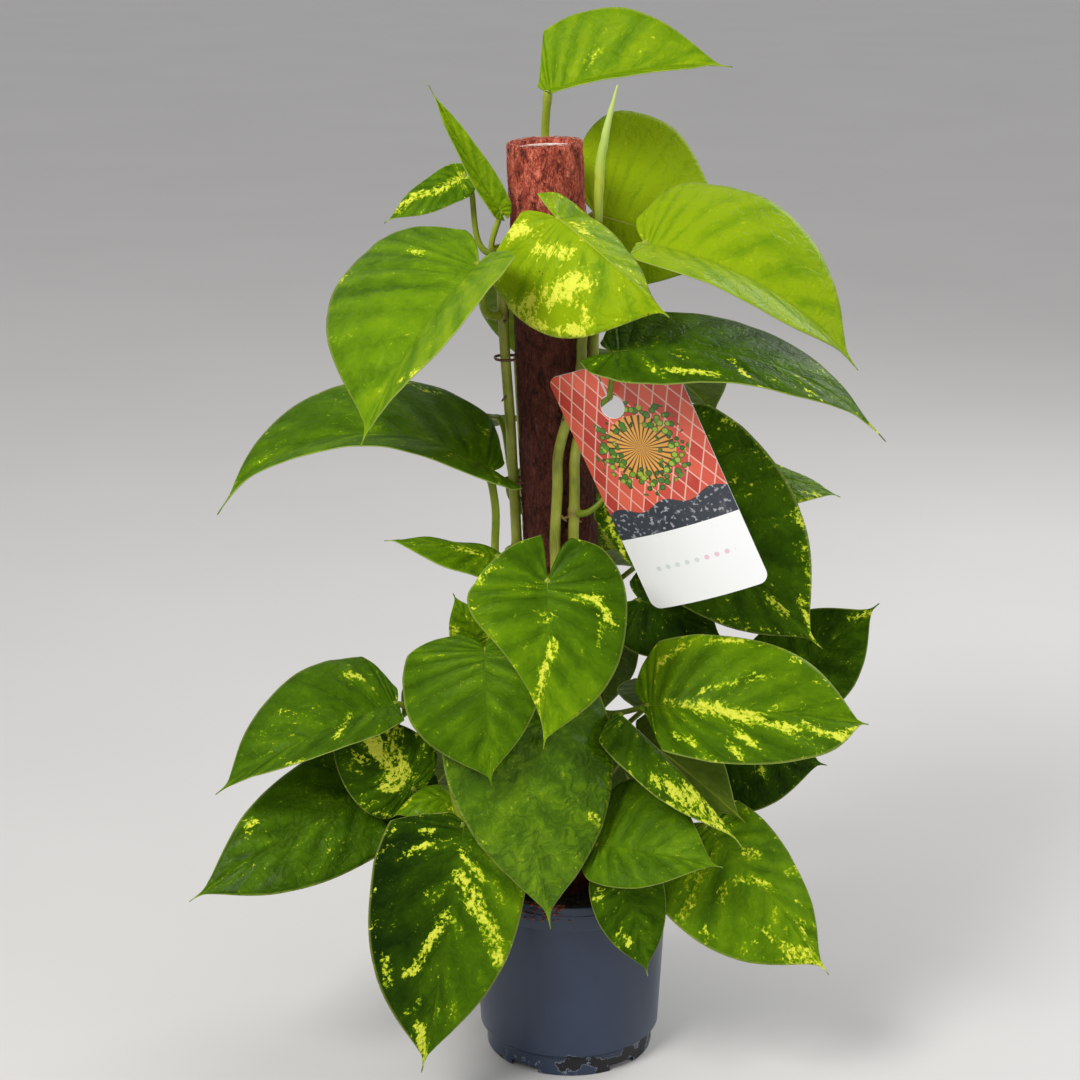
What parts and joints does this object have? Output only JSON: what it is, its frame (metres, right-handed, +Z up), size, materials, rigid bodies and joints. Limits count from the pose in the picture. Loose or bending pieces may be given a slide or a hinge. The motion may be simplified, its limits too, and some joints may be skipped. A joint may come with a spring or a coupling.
{
  "type": "potted pothos",
  "caption": "Golden pothos with heart-shaped leaves climbing a hollow coir pole in a slotted-foot nursery pot, with a hanging plant tag.",
  "frame": {"origin": "centre of the pot's foot, on the surface that it stands on", "axes": "+Z up along the pot, -Y towards the side that the picture shows, +X to the right in the picture"},
  "size_m": [0.3991, 0.2399, 0.6213],
  "materials": {
    "leaf": "waxy green leaf, yellow streaks, low sheen",
    "vine": "green stem skin with pale nodes",
    "spear": "pale green rolled young leaf",
    "pot_plastic": "dark slate-grey moulded plastic, soft sheen",
    "tube_plastic": "dark brown ribbed tube, dusty",
    "coir": "red-brown matted coconut fibre",
    "soil": "dark peat and bark mix, rough",
    "wire": "brown coated wire",
    "tag_card": "printed plastic card, semi-gloss"
  },
  "bodies": {
    "root": {"pot": "pot_plastic", "soil": "soil", "coir_sleeve": "coir", "pole_tube": "tube_plastic", "vine_left": "vine", "vine_front": "vine", "vine_right": "vine", "vine_back": "vine", "vine_back_left": "vine", "staple_left_upper": "wire", "staple_left_lower": "wire", "staple_front": "wire", "staple_back": "wire", "plant_tag": "tag_card", "leaf_spear": "spear", "leaf_crown": "leaf", "leaf_rear_upper_right": "leaf", "leaf_upper_right_glossy": "leaf", "leaf_upper_left_large": "leaf", "leaf_front_streaked": "leaf", "leaf_rear_left_small": "leaf", "leaf_young_left": "leaf", "leaf_left_middle": "leaf", "leaf_right_middle_dark": "leaf", "leaf_right_large": "leaf", "leaf_right_rear_small": "leaf", "leaf_left_small_pointed": "leaf", "leaf_centre_heart": "leaf", "leaf_left_centre_heart": "leaf", "leaf_small_behind": "leaf", "leaf_left_upper": "leaf", "leaf_left_dark_streaked": "leaf", "leaf_left_lower": "leaf", "leaf_curled_glossy": "leaf", "leaf_bottom_left": "leaf", "leaf_bottom_left_sliver": "leaf", "leaf_centre_bottom_dark": "leaf", "leaf_lower_right_flat": "leaf", "leaf_folded_streaked": "leaf", "leaf_olive_underside": "leaf", "leaf_right_streaked": "leaf", "leaf_right_rear_dark": "leaf", "leaf_right_rear_low": "leaf", "leaf_lower_right_large": "leaf", "leaf_front_pot_small": "leaf", "leaf_dark_behind": "leaf", "leaf_back_top": "leaf", "leaf_back_upper_right": "leaf", "leaf_back_middle_left": "leaf", "leaf_back_middle": "leaf", "leaf_back_right": "leaf", "leaf_back_left_low": "leaf", "leaf_back_low": "leaf", "leaf_back_right_low": "leaf", "leaf_back_left_bottom": "leaf", "leaf_back_bottom": "leaf"}
  },
  "joints": []
}
